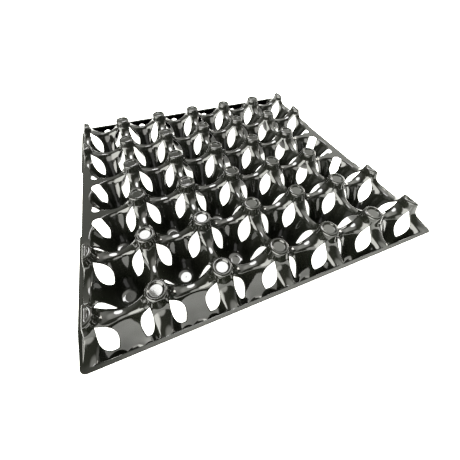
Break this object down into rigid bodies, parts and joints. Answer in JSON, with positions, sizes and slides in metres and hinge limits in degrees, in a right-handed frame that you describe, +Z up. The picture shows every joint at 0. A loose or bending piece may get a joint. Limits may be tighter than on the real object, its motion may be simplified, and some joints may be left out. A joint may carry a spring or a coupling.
{
  "type": "cell tray",
  "caption": "Glossy black plastic cell tray: a grid of open conical cups with leaf-shaped vents, set between hollow dished posts, with half cups at two ends and flat side flanges.",
  "frame": {"origin": "centre of the footprint, on the level surface that the cup floors stand on", "axes": "+Z up; +X along the longer side, across the columns, towards a side flange; +Y towards the back row of half cups"},
  "size_m": [0.2968, 0.2914, 0.047],
  "materials": {
    "tray_plastic": "high gloss, smooth moulded"
  },
  "bodies": {
    "root": {"cup_r1_c1": "tray_plastic", "cup_r1_c2": "tray_plastic", "cup_r1_c3": "tray_plastic", "cup_r1_c4": "tray_plastic", "cup_r1_c5": "tray_plastic", "cup_r1_c6": "tray_plastic", "cup_r2_c1": "tray_plastic", "cup_r2_c2": "tray_plastic", "cup_r2_c3": "tray_plastic", "cup_r2_c4": "tray_plastic", "cup_r2_c5": "tray_plastic", "cup_r2_c6": "tray_plastic", "cup_r3_c1": "tray_plastic", "cup_r3_c2": "tray_plastic", "cup_r3_c3": "tray_plastic", "cup_r3_c4": "tray_plastic", "cup_r3_c5": "tray_plastic", "cup_r3_c6": "tray_plastic", "cup_r4_c1": "tray_plastic", "cup_r4_c2": "tray_plastic", "cup_r4_c3": "tray_plastic", "cup_r4_c4": "tray_plastic", "cup_r4_c5": "tray_plastic", "cup_r4_c6": "tray_plastic", "cup_r5_c1": "tray_plastic", "cup_r5_c2": "tray_plastic", "cup_r5_c3": "tray_plastic", "cup_r5_c4": "tray_plastic", "cup_r5_c5": "tray_plastic", "cup_r5_c6": "tray_plastic", "front_half_cup_1": "tray_plastic", "front_half_cup_2": "tray_plastic", "front_half_cup_3": "tray_plastic", "front_half_cup_4": "tray_plastic", "front_half_cup_5": "tray_plastic", "front_half_cup_6": "tray_plastic", "back_half_cup_1": "tray_plastic", "back_half_cup_2": "tray_plastic", "back_half_cup_3": "tray_plastic", "back_half_cup_4": "tray_plastic", "back_half_cup_5": "tray_plastic", "back_half_cup_6": "tray_plastic", "front_lip": "tray_plastic", "back_lip": "tray_plastic", "front_end_wall": "tray_plastic", "back_end_wall": "tray_plastic", "left_side_flange": "tray_plastic", "right_side_flange": "tray_plastic"}
  },
  "joints": []
}
